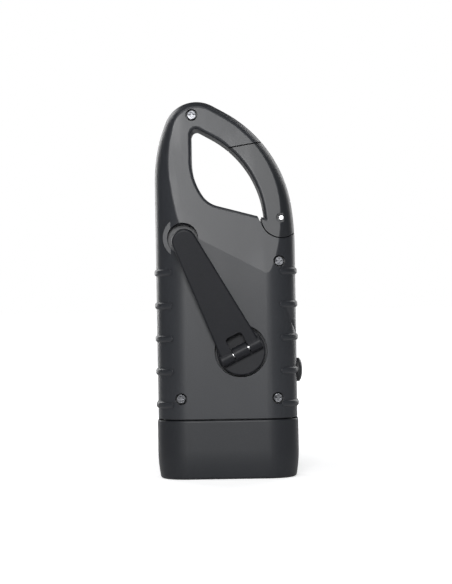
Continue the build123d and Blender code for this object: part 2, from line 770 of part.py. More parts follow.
def cross_screw(x, z, seat_y, end_y, head_radius, head_height, shank_radius):
    """A pan head screw along Y with a cross recess; its head points to the crank side."""
    with BuildPart() as screw:
        add(rod(x, z, head_radius, seat_y - head_height, seat_y - hold_fit))
        fillet(screw.edges().group_by(Axis.Y)[0], min(0.35, head_height / 2))
        with BuildSketch(front(seat_y - head_height + min(cross_depth, 0.7 * head_height))):
            with Locations((x, z)):
                Rectangle(1.3 * head_radius, cross_slot)
                Rectangle(cross_slot, 1.3 * head_radius)
        extrude(amount=far, mode=Mode.SUBTRACT)
        add(rod(x, z, shank_radius, seat_y - hold_fit, end_y))
    return screw.part


with BuildPart() as shell_screw_set:
    for x, z, seat_y in shell_screws:
        add(cross_screw(x, z, seat_y, shank_end_y, screw_head_radius, screw_head_height, screw_shank_radius))
shell_screw_set.part.label = "shell_screws"
export_step(shell_screw_set.part, "parts/shell_screws.step")

# ==== carabiner gate =======================================================================
with BuildPart() as gate:
    add(form)
    add(slab(gate_space(gate_end_radius, gate_gap), -far, far), mode=Mode.INTERSECT)
    add(rod(*pin, tongue_radius + tongue_gap, -tongue_half - fork_side_gap, tongue_half + fork_side_gap),
        mode=Mode.SUBTRACT)
    add(rod(*pin, gate_pin_radius + run_fit, -far, far), mode=Mode.SUBTRACT)
    add(rod(*pin, gate_pin_head_radius + 0.1, -far, front_pin_end), mode=Mode.SUBTRACT)
    add(rod(*pin, gate_pin_head_radius + 0.1, -front_pin_end, far), mode=Mode.SUBTRACT)
gate.part.label = "gate"
export_step(gate.part, "parts/gate.step")

with BuildPart() as gate_pin:
    add(rod(*pin, gate_pin_radius, front_pin_end - 0.5, -front_pin_end + 0.5))
    chamfer(gate_pin.edges().filter_by(GeomType.CIRCLE), 0.2)
gate_pin.part.label = "gate_pin"
export_step(gate_pin.part, "parts/gate_pin.step")

spring_inner = gate_pin_radius + 0.15
leg_y = 0.1
with BuildPart() as gate_spring:
    add(ring(*pin, spring_inner + 2 * spring_wire, spring_inner,
             -spring_turns * spring_wire, spring_turns * spring_wire))
    add(block((gate_pin_x + spring_inner, leg_y, gate_pin_z),
              (gate_pin_x + spring_inner + 2 * spring_wire, leg_y + 2 * spring_wire,
               gate_pin_z + tongue_radius - 0.2)))
    add(block((gate_pin_x - spring_inner - 2 * spring_wire, -leg_y - 2 * spring_wire,
               gate_pin_z - spring_leg + 0.4),
              (gate_pin_x - spring_inner, -leg_y, gate_pin_z)))
gate_spring.part.label = "gate_spring"
export_step(gate_spring.part, "parts/gate_spring.step")

# ==== head: bezel, seal, lens, reflector and lamps ===========================================
bore_width = head_width - 2 * head_wall
bore_depth = head_depth - 2 * head_wall
bore_round = side_round - head_wall + neck_gap
head_round = side_round + head_over_y
head_top_z = head_height
lens_top_z = rim_lip + lens_thickness
reflector_z = lens_top_z + optic_gap
led_board_z = reflector_z + reflector_height + optic_gap
lens_round = bore_round
taper_steps = 4

with BuildPart() as head_bezel:
    for i in range(taper_steps + 1):
        share = i / taper_steps
        narrow_x = (head_width - rim_width) * share ** 2
        narrow_y = (head_depth - rim_depth) * share ** 2
        with BuildSketch(Plane.XY.offset(head_taper_height * (1 - share))):
            RectangleRounded(head_width - narrow_x, head_depth - narrow_y, head_round - narrow_y / 2)
    loft()
    rim_edge = head_bezel.edges().group_by(Axis.Z)[0]
    fillet(rim_edge, rim_edge_round)
    with BuildSketch(Plane.XY.offset(head_taper_height)):
        RectangleRounded(head_width, head_depth, head_round)
    extrude(amount=head_top_z - head_taper_height)
    fillet(head_bezel.edges().group_by(Axis.Z)[-1], 0.5)
    add(upright(bore_width, bore_depth, bore_round, led_board_z, far), mode=Mode.SUBTRACT)
    add(upright(lens_width + 0.1, lens_depth + 0.1, lens_round, rim_lip, led_board_z + 1), mode=Mode.SUBTRACT)
    add(upright(lens_window_width, lens_window_depth, lens_round - 1.5, -1, far), mode=Mode.SUBTRACT)
    add(upright(bore_width + 0.5, bore_depth + 0.5, bore_round, snap_z, snap_z + 0.6)
        - upright(bore_width - 2 * snap_height, bore_depth - 2 * snap_height,
                  bore_round - snap_height, 0, far))
head_bezel.part.label = "head_bezel"
export_step(head_bezel.part, "parts/head_bezel.step")

with BuildPart() as head_seal:
    add(upright(bore_width - 0.06, bore_depth - 0.06, bore_round, seal_z + 0.05, seal_z + seal_height - 0.05)
        - upright(neck_width - 2 * seal_depth + 0.1, neck_depth - 2 * seal_depth + 0.1,
                  neck_round - seal_depth, 0, far))
    fillet(head_seal.edges().filter_by(Plane.XY), 0.4)
head_seal.part.label = "head_seal"
export_step(head_seal.part, "parts/head_seal.step")

with BuildPart() as lens:
    add(upright(lens_width, lens_depth, lens_round - 0.05, rim_lip + hold_fit, lens_top_z))
    lip = lens_window_width - 0.2, lens_window_depth - 0.2
    add(upright(*lip, lens_round - 1.6, rim_lip - 0.4, rim_lip + hold_fit))
lens.part.label = "lens"
export_step(lens.part, "parts/lens.step")

lamp_places = [-lamp_pitch, 0, lamp_pitch]
with BuildPart() as reflector:
    add(upright(lens_width - 0.1, lens_depth - 0.1, lens_round - 0.1, reflector_z,
                reflector_z + reflector_height))
    for x in lamp_places:
        with BuildSketch(Plane(origin=(x, 0, reflector_z), z_dir=(0, -1, 0), x_dir=(1, 0, 0))):
            with BuildLine():
                mouth = (cup_radius, 0)
                throat_point = (led_radius + 0.3, reflector_height - 0.5)
                bowl = ThreePointArc(mouth, (cup_radius * 0.84, reflector_height * 0.42), throat_point)
                Polyline(bowl @ 1, (led_radius + 0.3, reflector_height), (0, reflector_height), (0, 0),
                         bowl @ 0)
            make_face()
        revolve(axis=Axis((x, 0, 0), (0, 0, 1)), mode=Mode.SUBTRACT)
reflector.part.label = "reflector"
export_step(reflector.part, "parts/reflector.step")

with BuildPart() as leds:
    for x in lamp_places:
        with BuildSketch(Plane(origin=(x, 0, led_board_z), z_dir=(0, -1, 0), x_dir=(1, 0, 0))):
            with BuildLine():
                side = Line((led_radius, 0), (led_radius, led_radius - led_height))
                dome = ThreePointArc(side @ 1, (led_radius * cos(pi / 4),
                                                led_radius - led_height - led_radius * sin(pi / 4)),
                                     (0, -led_height))
                Polyline(dome @ 1, (0, 0), (led_radius, 0))
            make_face()
        revolve(axis=Axis((x, 0, 0), (0, 0, 1)))
leds.part.label = "leds"
export_step(leds.part, "parts/leds.step")

with BuildPart() as led_board:
    add(upright(lens_width - 0.6, lens_depth - 0.6, lens_round - 0.3, led_board_z,
                led_board_z + board_thickness))
    for x in (-lamp_pitch / 2, lamp_pitch / 2):
        with Locations((x, 0, led_board_z + board_thickness)):
            Box(3.2, 1.6, 1.0, align=(Align.CENTER, Align.CENTER, Align.MIN))
led_board.part.label = "led_board"
export_step(led_board.part, "parts/led_board.step")

# ==== gear axles, plate and generator ==========================================================
with BuildPart() as gear_axles:
    for x, z in (first_centre, second_centre):
        add(rod(x, z, axle_radius, -half_depth + wall + 0.45, plate_back_y))
gear_axles.part.label = "gear_axles"
export_step(gear_axles.part, "parts/gear_axles.step")

with BuildPart() as gearbox_plate:
    with BuildSketch(front(plate_back_y)):
        for x, z in plate_posts + [first_centre, second_centre]:
            with Locations((x, z)):
                Circle(3.2)
        with Locations(rotor_centre):
            Circle(can_radius + 1.2)
        make_hull()
    extrude(amount=plate_thickness)
    add(ring(*rotor_centre, can_radius + 1.2, can_radius + 0.05, plate_back_y, plate_back_y + 1.4))
    add(rod(*rotor_centre, rotor_shaft_radius + run_fit, -far, far), mode=Mode.SUBTRACT)
    for x, z in (first_centre, second_centre):
        add(rod(x, z, axle_radius + hold_fit, -far, far), mode=Mode.SUBTRACT)
    for x, z in plate_posts:
        add(rod(x, z, 1.0, -far, far), mode=Mode.SUBTRACT)
gearbox_plate.part.label = "gearbox_plate"
export_step(gearbox_plate.part, "parts/gearbox_plate.step")


def rear_screw(x, z, seat_y, end_y, head_radius, shank_radius):
    """A small pan head screw along Y, turned in from the rear."""
    with BuildPart() as screw:
        add(rod(x, z, shank_radius, end_y, seat_y + hold_fit))
        add(rod(x, z, head_radius, seat_y + hold_fit, seat_y + 1.1))
        fillet(screw.edges().group_by(Axis.Y)[-1], 0.3)
        with BuildSketch(front(far)):
            with Locations((x, z)):
                Rectangle(1.3 * head_radius, cross_slot)
                Rectangle(cross_slot, 1.3 * head_radius)
        extrude(amount=far - seat_y - 0.6, mode=Mode.SUBTRACT)
    return screw.part


with BuildPart() as plate_screws:
    for x, z in plate_posts:
        add(rear_screw(x, z, plate_back_y, plate_y - plate_screw["length"],
                       plate_screw["head_radius"], plate_screw["shank_radius"]))
plate_screws.part.label = "plate_screws"
export_step(plate_screws.part, "parts/plate_screws.step")

can_back_y = plate_back_y + can_length
with BuildPart() as generator_can:
    add(rod(*rotor_centre, can_radius, plate_back_y, can_back_y))
    fillet(generator_can.edges().group_by(Axis.Y)[-1], 0.7)
    add(rod(*rotor_centre, can_radius - can_wall, 0, can_back_y - can_wall), mode=Mode.SUBTRACT)
    add(rod(*rotor_centre, rotor_shaft_radius + run_fit, 0, far), mode=Mode.SUBTRACT)
    add(block((rotor_centre[0] + 3, plate_back_y - 1, rotor_centre[1] - far),
              (rotor_centre[0] + 6, plate_back_y + 2.9, rotor_centre[1])), mode=Mode.SUBTRACT)
generator_can.part.label = "generator_can"
export_step(generator_can.part, "parts/generator_can.step")

coil_low_y = plate_back_y + 0.3
coil_high_y = can_back_y - can_wall - 0.3
with BuildPart() as stator_coil:
    with BuildSketch(Plane(origin=(rotor_centre[0], 0, rotor_centre[1]), z_dir=(0, 0, 1), x_dir=(1, 0, 0))):
        with BuildLine():
            Polyline((coil_inner, coil_low_y), (coil_outer + 0.25, coil_low_y),
                     (coil_outer + 0.25, coil_low_y + 0.7), (coil_outer - 0.6, coil_low_y + 0.7),
                     (coil_outer - 0.3, (coil_low_y + coil_high_y) / 2),
                     (coil_outer - 0.6, coil_high_y - 0.7), (coil_outer + 0.25, coil_high_y - 0.7),
                     (coil_outer + 0.25, coil_high_y), (coil_inner, coil_high_y), close=True)
        make_face()
    revolve(axis=Axis((rotor_centre[0], 0, rotor_centre[1]), (0, 1, 0)))
stator_coil.part.label = "stator_coil"
export_step(stator_coil.part, "parts/stator_coil.step")

with BuildPart() as rotor_shaft:
    add(rod(*rotor_centre, rotor_shaft_radius, wheel_two_y - 0.4, can_back_y))
rotor_shaft.part.label = "rotor_shaft"
export_step(rotor_shaft.part, "parts/rotor_shaft.step")

with BuildPart() as rotor_pinion:
    add(slab(gear_face(rotor_centre, pinion_teeth, rotor_phase), wheel_two_y - 0.2, plate_y - 0.5))
    add(rod(*rotor_centre, rotor_shaft_radius + hold_fit, -far, far), mode=Mode.SUBTRACT)
rotor_pinion.part.label = "rotor_pinion"
export_step(rotor_pinion.part, "parts/rotor_pinion.step")

with BuildPart() as rotor_magnet:
    add(rod(*rotor_centre, magnet_radius, coil_low_y + 0.5, coil_high_y - 0.5))
    fillet(rotor_magnet.edges().filter_by(GeomType.CIRCLE), 0.4)
    add(rod(*rotor_centre, rotor_shaft_radius + hold_fit, -far, far), mode=Mode.SUBTRACT)
rotor_magnet.part.label = "rotor_magnet"
export_step(rotor_magnet.part, "parts/rotor_magnet.step")

# ==== board, switch, button and cell ==============================================================
board_back_y = main_board_y + board_thickness
with BuildPart() as main_board:
    add(block((main_board_low[0], main_board_y, main_board_low[1]),
              (main_board_high[0], board_back_y, main_board_high[1])))
    fillet(main_board.edges().filter_by(Axis.Y), 1.0)
    for x, z in board_posts:
        add(rod(x, z, 0.9, -far, far), mode=Mode.SUBTRACT)
main_board.part.label = "main_board"
export_step(main_board.part, "parts/main_board.step")

with BuildPart() as board_components:
    add(rod(capacitor_x, capacitor_z, capacitor_radius, board_back_y, board_back_y + capacitor_height))
    for x, z, length, width, height in chips:
        add(block((x, board_back_y, z), (x + length, board_back_y + height, z + width)))
board_components.part.label = "board_components"
export_step(board_components.part, "parts/board_components.step")

with BuildPart() as board_screws:
    for x, z in board_posts:
        add(cross_screw(x, z, main_board_y, board_back_y + 4, 1.5, 1.0, board_screw_radius))
board_screws.part.label = "board_screws"
export_step(board_screws.part, "parts/board_screws.step")

inner_wall_x = half_width - wall
flange_outer_x = inner_wall_x - 0.4
flange_inner_x = flange_outer_x - 1.4
switch_x = flange_inner_x - 2.4
with BuildPart() as button:
    with BuildSketch(Plane(origin=(0, 0, button_z), z_dir=(0, 1, 0), x_dir=(1, 0, 0))):
        with BuildLine():
            groove_in, groove_out = button_radius * 0.62, button_radius * 0.75
            Polyline((half_width + button_proud, 0), (half_width + button_proud, groove_in / 2),
                     (half_width + button_proud - 0.2, groove_in),
                     (half_width + button_proud - 0.6, groove_in + 0.1),
                     (half_width + button_proud - 0.6, groove_out - 0.1),
                     (half_width + button_proud - 0.35, groove_out),
                     (half_width + button_proud - 0.8, button_radius - 0.3),
                     (half_width + button_proud - 1.1, button_radius),
                     (flange_outer_x, button_radius), (flange_outer_x, button_radius + 1.3),
                     (flange_inner_x, button_radius + 1.3), (flange_inner_x, 0), close=True)
        make_face()
    revolve(axis=Axis((0, 0, button_z), (1, 0, 0)))
button.part.label = "button"
export_step(button.part, "parts/button.step")

plunger_half = 1.3
switch_length = 8.0
switch_low = (switch_x - switch_length, -3.4, button_z - 4)
with BuildPart() as switch_body:
    add(block(switch_low, (switch_x, main_board_y, button_z + 4)))
    fillet(switch_body.edges().filter_by(Axis.X), 0.5)
    hole_low = (switch_x - 4, -plunger_half - 0.15, button_z - plunger_half - 0.15)
    add(block(hole_low, (far, plunger_half + 0.15, button_z + plunger_half + 0.15)), mode=Mode.SUBTRACT)
switch_body.part.label = "switch_body"
export_step(switch_body.part, "parts/switch_body.step")

with BuildPart() as switch_plunger:
    add(block((switch_x - 4 + button_travel + 0.3, -plunger_half, button_z - plunger_half),
              (flange_inner_x - hold_fit, plunger_half, button_z + plunger_half)))
switch_plunger.part.label = "switch_plunger"
export_step(switch_plunger.part, "parts/switch_plunger.step")

tab_y = cell_back_y - run_fit - cell_thickness
with BuildPart() as battery_cell:
    add(rod(cell_x, cell_z, cell_radius, tab_y, tab_y + cell_thickness))
    fillet(battery_cell.edges().filter_by(GeomType.CIRCLE), 0.4)
battery_cell.part.label = "battery_cell"
export_step(battery_cell.part, "parts/battery_cell.step")

with BuildPart() as battery_contacts:
    add(block((cell_x - 2, tab_y - contact_thickness, cell_z - 6), (cell_x + 2, tab_y, cell_z + 1)))
    add(block((cell_x + 4, tab_y - contact_thickness, cell_z - 5), (cell_x + 7, tab_y, cell_z + 3)))
battery_contacts.part.label = "battery_contacts"
export_step(battery_contacts.part, "parts/battery_contacts.step")


# ==== leads inside the body ==========================================================================
def lead(bend, *points):
    """A round wire along straight runs joined by arcs."""
    with BuildPart() as wire_piece:
        with BuildLine() as path:
            FilletPolyline(*points, radius=bend)
        with BuildSketch(Plane(origin=points[0], z_dir=path.line % 0)):
            Circle(lead_radius)
        sweep(path=path.line)
    return wire_piece.part


def lead_start_z(across_x):
    """Height on the coil's lower side where a lead leaves it."""
    return rotor_centre[1] - sqrt((coil_outer - 0.3) ** 2 - across_x ** 2)


lead_y = board_back_y + lead_radius + 0.03
lead_bend = 3.2 * lead_radius
with BuildPart() as generator_leads:
    for i, across_x in enumerate((3.8, 5.1)):
        x = rotor_centre[0] + across_x
        start_z = lead_start_z(across_x)
        out_z = rotor_centre[1] - can_radius - 2.0 - 0.6 * i
        add(lead(lead_bend, (x, lead_y, start_z), (x, lead_y, out_z), (x + 0.8, lead_y, out_z - 3.6)))
generator_leads.part.label = "generator_leads"
export_step(generator_leads.part, "parts/generator_leads.step")

with BuildPart() as battery_leads:
    add(lead(lead_bend, (cell_x + 7.02, lead_y, cell_z - 2), (cell_x + 9.5, lead_y, cell_z - 2),
             (cell_x + 12.5, lead_y, cell_z - 0.5)))
    add(lead(lead_bend, (cell_x, lead_y - 0.1, cell_z - 6.02), (cell_x, lead_y - 0.1, cell_z - 8.4),
             (cell_x + 6, lead_y, cell_z - 8.8), (main_board_low[0] + 2, lead_y, main_board_low[1] + 1.2)))
battery_leads.part.label = "battery_leads"
export_step(battery_leads.part, "parts/battery_leads.step")

lamp_pad_z = led_board_z + board_thickness + 1.02
with BuildPart() as lamp_leads:
    add(lead(lead_bend, (12.0, lead_y, 36.5), (12.0, lead_y, 30.0), (9.0, 2.0, 23.0),
             (lamp_pitch / 2, 0, 19.0), (lamp_pitch / 2, 0, lamp_pad_z)))
    add(lead(lead_bend, (4.2, lead_y, 37.0), (4.2, lead_y, 30.0), (-3.0, 3.0, 23.0),
             (-lamp_pitch / 2, 0, 19.0), (-lamp_pitch / 2, 0, lamp_pad_z)))
lamp_leads.part.label = "lamp_leads"
export_step(lamp_leads.part, "parts/lamp_leads.step")
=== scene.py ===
import math
import bpy
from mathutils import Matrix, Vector


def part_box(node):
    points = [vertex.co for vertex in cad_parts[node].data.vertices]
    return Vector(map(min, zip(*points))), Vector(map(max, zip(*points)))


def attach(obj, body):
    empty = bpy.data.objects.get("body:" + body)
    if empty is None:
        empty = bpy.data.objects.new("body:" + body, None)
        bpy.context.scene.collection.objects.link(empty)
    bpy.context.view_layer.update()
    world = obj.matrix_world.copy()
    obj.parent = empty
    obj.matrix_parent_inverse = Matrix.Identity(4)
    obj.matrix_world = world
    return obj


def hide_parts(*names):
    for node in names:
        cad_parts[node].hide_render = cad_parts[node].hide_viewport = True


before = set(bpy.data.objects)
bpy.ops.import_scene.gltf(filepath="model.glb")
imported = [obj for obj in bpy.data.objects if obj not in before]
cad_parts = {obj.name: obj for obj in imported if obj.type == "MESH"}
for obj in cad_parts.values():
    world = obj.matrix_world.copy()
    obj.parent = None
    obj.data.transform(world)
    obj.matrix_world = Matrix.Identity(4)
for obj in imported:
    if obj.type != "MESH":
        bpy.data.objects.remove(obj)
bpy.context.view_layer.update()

# Front and rear shell: two injection-moulded halves of dark grey ABS that meet
# along the side band. The mould is fine-blasted, so the skin is satin with a
# close grain, a little smoother where hands rub the edges.


class Signal:
    """A value in a finish, on which sums are written as on a number."""

    def __init__(self, finish, socket):
        self.finish, self.socket = finish, socket

    def math(self, operation, first, second):
        return self.finish.node("ShaderNodeMath", {"operation": operation}, {0: first, 1: second})

    def __add__(self, other):
        return self.math("ADD", self, other)

    def __sub__(self, other):
        return self.math("SUBTRACT", self, other)

    def __mul__(self, other):
        return self.math("MULTIPLY", self, other)

    def __gt__(self, other):
        return self.math("GREATER_THAN", self, other)

    def __radd__(self, other):
        return self.math("ADD", other, self)

    def __rsub__(self, other):
        return self.math("SUBTRACT", other, self)

    def __rmul__(self, other):
        return self.math("MULTIPLY", other, self)


class Finish:
    """A material that is built up from nodes, one call a node."""

    def __init__(self, name, **sockets):
        self.material = bpy.data.materials.new(name)
        self.material.use_nodes = True
        self.tree = self.material.node_tree
        self.skin = self.tree.nodes["Principled BSDF"]
        self.spot = self.node("ShaderNodeTexCoord", output="Object")
        for socket, value in sockets.items():
            self.skin.inputs[socket.replace("_", " ")].default_value = value

    def node(self, kind, settings=None, inputs=None, output=0):
        made = self.tree.nodes.new(kind)
        for name, value in (settings or {}).items():
            setattr(made, name, value)
        for place, value in (inputs or {}).items():
            if isinstance(value, Signal):
                self.tree.links.new(value.socket, made.inputs[place])
            else:
                made.inputs[place].default_value = value
        return Signal(self, made.outputs[output])

    def along(self, axis):
        """Distance along one axis of the object, in metres."""
        return self.node("ShaderNodeSeparateXYZ", None, {0: self.spot}, axis)

    def speckle(self, size, detail=2.0, stretch=(1.0, 1.0, 1.0)):
        """Noise from 0 to 1 whose patches are about size metres wide."""
        spot = self.node("ShaderNodeVectorMath", {"operation": "MULTIPLY"}, {0: self.spot, 1: stretch})
        return self.node("ShaderNodeTexNoise", None,
                         {"Vector": spot, "Scale": 1.0 / size, "Detail": detail})

    def ramp(self, value, low, high, start=0.0, end=1.0):
        """Smooth step from start to end as value goes from low to high."""
        limits = {"From Min": low, "From Max": high, "To Min": start, "To Max": end}
        return self.node("ShaderNodeMapRange", {"interpolation_type": "SMOOTHSTEP"},
                         {"Value": value, **limits})

    def blend(self, share, first, second):
        """Colour between two colours."""
        return self.node("ShaderNodeMix", {"data_type": "RGBA"}, {0: share, 6: first, 7: second}, 2)

    def edge(self, radius):
        """1 on a sharp edge, 0 on an even surface."""
        rounded = self.node("ShaderNodeBevel", {"samples": 6}, {"Radius": radius})
        plain = self.node("ShaderNodeNewGeometry", output="Normal")
        alike = self.node("ShaderNodeVectorMath", {"operation": "DOT_PRODUCT"},
                          {0: rounded, 1: plain}, "Value")
        return self.ramp(1.0 - alike, 0.01, 0.16)

    def relief(self, height, depth, soft_edge=0.0):
        """Bump of the given depth in metres, over edges rounded in the light."""
        inputs = {"Height": height, "Strength": 1.0, "Distance": depth}
        if soft_edge:
            inputs["Normal"] = self.node("ShaderNodeBevel", {"samples": 6}, {"Radius": soft_edge})
        self.feed("Normal", self.node("ShaderNodeBump", None, inputs))

    def feed(self, socket, signal):
        self.tree.links.new(signal.socket, self.skin.inputs[socket])


def paint(red, green, blue):
    """A colour as it looks on a screen, 0 to 255, as the shader takes it."""
    return tuple((c / 255.0 / 12.92) if c < 11 else ((c / 255.0 + 0.055) / 1.055) ** 2.4
                 for c in (red, green, blue)) + (1.0,)


def dress(finish, *names):
    """These CAD pieces take the finish on every slot."""
    for name in names:
        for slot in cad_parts[name].material_slots:
            slot.material = finish.material


def moulded(name, low, high, roughness, grain=0.000007, rub=0.5, soft_edge=0.00018, gloss=0.4):
    """Satin moulded plastic between two tones, with grain, faint flow marks and rubbed edges."""
    finish = Finish(name, IOR=1.5, Specular_IOR_Level=gloss)
    flow = finish.speckle(0.030, 3.0, (1.0, 1.0, 0.45))
    fine = finish.speckle(0.00045, 3.0)
    smear = finish.ramp(finish.speckle(0.012, 4.0, (1.0, 1.0, 0.35)), 0.48, 0.72)
    worn = finish.edge(0.0004) * finish.ramp(finish.speckle(0.004, 3.0), 0.35, 0.7, 0.3, 1.0)
    tone = finish.ramp(flow, 0.3, 0.7) * 0.6 + finish.ramp(fine, 0.3, 0.7) * 0.4
    finish.feed("Base Color", finish.blend(tone + worn * rub, low, high))
    finish.feed("Roughness", roughness + 0.07 * fine - 0.05 * smear - 0.06 * worn)
    finish.relief(fine, grain, soft_edge)
    return finish


body_plastic = moulded("body_plastic", paint(46, 48, 52), paint(54, 56, 60), 0.38, gloss=0.5)
dress(body_plastic, "front_shell", "rear_shell")

# Carabiner gate: the same grey ABS as the shells, moulded apart and hung on its
# pin. It is handled more than they are, so its edges are rubbed a little more.
gate_plastic = moulded("gate_plastic", paint(44, 46, 49), paint(53, 55, 58), 0.38, rub=0.6, gloss=0.5)
dress(gate_plastic, "gate")

# Head bezel: a ring of the same family of plastic, one shade darker, snapped
# over the neck of the shells; the rim that stands on tables is scuffed.
head_plastic = moulded("head_plastic", paint(36, 38, 42), paint(43, 45, 49), 0.4, rub=0.5, gloss=0.45)
rim_wear = head_plastic.ramp(head_plastic.along("Z"), 0.0006, 0.0, 0.0, 1.0)
scuffs = rim_wear * head_plastic.ramp(head_plastic.speckle(0.0009, 4.0), 0.45, 0.65)
head_tone = Signal(head_plastic, head_plastic.skin.inputs["Base Color"].links[0].from_socket)
head_plastic.feed("Base Color", head_plastic.blend(scuffs * 0.6, head_tone, paint(96, 96, 97)))
dress(head_plastic, "head_bezel")

# Crank arm, disc and knob: black-grey glass-filled nylon, stiffer and darker
# than the shells, with the faint fibre mottling that such mouldings show.
crank_nylon = moulded("crank_nylon", paint(32, 33, 37), paint(40, 41, 45), 0.42,
                      grain=0.00001, rub=0.6, gloss=0.24)
dress(crank_nylon, "crank_arm", "crank_disc")
knob_nylon = moulded("knob_nylon", paint(30, 31, 34), paint(40, 41, 44), 0.3, rub=0.5)
dress(knob_nylon, "crank_knob")

# Push button: a soft-touch moulded cap, matt, with lightly rubbed edges, held
# in the shells by the flange round its foot.
button_skin = moulded("button_skin", paint(36, 37, 39), paint(48, 49, 51), 0.44, grain=0.000008, rub=0.4)
dress(button_skin, "button")


# Screws and pins: zinc-plated steel with turned faces. The plating is a little
# cloudy, and dark on the four screws that hold the shells.
def plated(name, low, high, roughness, streak=(1.0, 1.0, 1.0)):
    """Plated or bare metal with fine turning lines and a cloudy bloom."""
    finish = Finish(name, Metallic=1.0)
    bloom = finish.speckle(0.0016, 4.0)
    lines = finish.speckle(0.00012, 2.0, streak)
    worn = finish.edge(0.00015)
    finish.feed("Base Color", finish.blend(finish.ramp(bloom, 0.3, 0.7) + worn * 0.4, low, high))
    finish.feed("Roughness", roughness + 0.12 * bloom + 0.06 * lines)
    finish.relief(lines, 0.000002, 0.00006)
    return finish


zinc = plated("zinc_plate", paint(176, 178, 181), paint(222, 223, 225), 0.2)
dress(zinc, "plate_screws", "board_screws", "gear_screw", "gear_washer")
dark_zinc = plated("dark_zinc", paint(58, 59, 62), paint(124, 125, 128), 0.24)
dress(dark_zinc, "shell_screws")
bright_steel = plated("bright_steel", paint(190, 191, 193), paint(228, 228, 229), 0.16, (1.0, 0.1, 1.0))
dress(bright_steel, "gate_pin", "hinge_pin", "knob_pin", "gear_axles", "rotor_shaft")

# Head seal: a black silicone ring that lies in a groove of the neck and is
# squeezed by the bezel.
seal_rubber = moulded("seal_rubber", paint(22, 22, 23), paint(32, 32, 33), 0.58, grain=0.000004, rub=0.2)
dress(seal_rubber, "head_seal")

# Lens: a clear acrylic window let into the bezel's rim from inside, polished
# on both faces, with hair-fine cleaning marks.
lens_acrylic = Finish("lens_acrylic", IOR=1.49, Transmission_Weight=1.0, Base_Color=(0.97, 0.98, 0.99, 1.0))
wiped = lens_acrylic.speckle(0.0009, 5.0, (1.0, 0.12, 1.0))
lens_acrylic.feed("Roughness", lens_acrylic.ramp(wiped, 0.55, 0.8, 0.015, 0.09))
lens_acrylic.relief(wiped, 0.0000012)
dress(lens_acrylic, "lens")

# Reflector: one plastic moulding with three cups, vacuum-metallised all over;
# the coating has a slight orange peel and is duller on the flat between cups.
mirror_coat = Finish("mirror_coat", Metallic=1.0)
peel = mirror_coat.speckle(0.0022, 2.0)
flat_land = mirror_coat.ramp(mirror_coat.along("Z"), 0.0029, 0.0027)
mirror_coat.feed("Base Color", mirror_coat.blend(flat_land, paint(232, 233, 235), paint(205, 206, 209)))
mirror_coat.feed("Roughness", 0.05 + 0.05 * peel + flat_land * 0.16)
mirror_coat.relief(peel, 0.000012)
dress(mirror_coat, "reflector")

# Lamps: three 5 mm white diodes cast in clear epoxy. Inside each stand a cup
# with its yellow phosphor and the thinner post beside it, on steel legs.
diode_epoxy = Finish("diode_epoxy", IOR=1.53, Transmission_Weight=1.0, Base_Color=(0.99, 0.98, 0.93, 1.0))
cast_ripple = diode_epoxy.speckle(0.0011, 2.0)
diode_epoxy.feed("Roughness", 0.02 + 0.05 * cast_ripple)
diode_epoxy.relief(cast_ripple, 0.000004)
dress(diode_epoxy, "leds")


def start(name):
    """The primitive just added takes a name and goes into edit mode with nothing selected."""
    piece = bpy.context.object
    piece.name = name
    piece.data.name = name
    bpy.ops.object.transform_apply(location=True, rotation=True, scale=True)
    bpy.ops.object.mode_set(mode="EDIT")
    bpy.ops.mesh.select_all(action="DESELECT")
    bpy.ops.mesh.select_mode(type="FACE")
    return piece


def pick(piece, axis, side, reach=0.9):
    """Selects the faces of the piece that look along an axis and lie furthest that way."""
    bpy.ops.mesh.select_all(action="DESELECT")
    bpy.ops.object.mode_set(mode="OBJECT")
    facing = [f for f in piece.data.polygons if f.normal[axis] * side > reach]
    furthest = max(f.center[axis] * side for f in facing)
    for face in facing:
        face.select = face.center[axis] * side > furthest - 1e-6
    bpy.ops.object.mode_set(mode="EDIT")


def close_up(piece, finish, body, angle=40.0):
    """The finished piece gets its material, smooth shading, body and slot."""
    bpy.ops.object.mode_set(mode="EDIT")
    bpy.ops.mesh.select_all(action="SELECT")
    bpy.ops.mesh.normals_make_consistent(inside=False)
    bpy.ops.object.mode_set(mode="OBJECT")
    bpy.ops.object.shade_smooth_by_angle(angle=math.radians(angle))
    piece.data.materials.clear()
    piece.data.materials.append(finish.material)
    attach(piece, body)


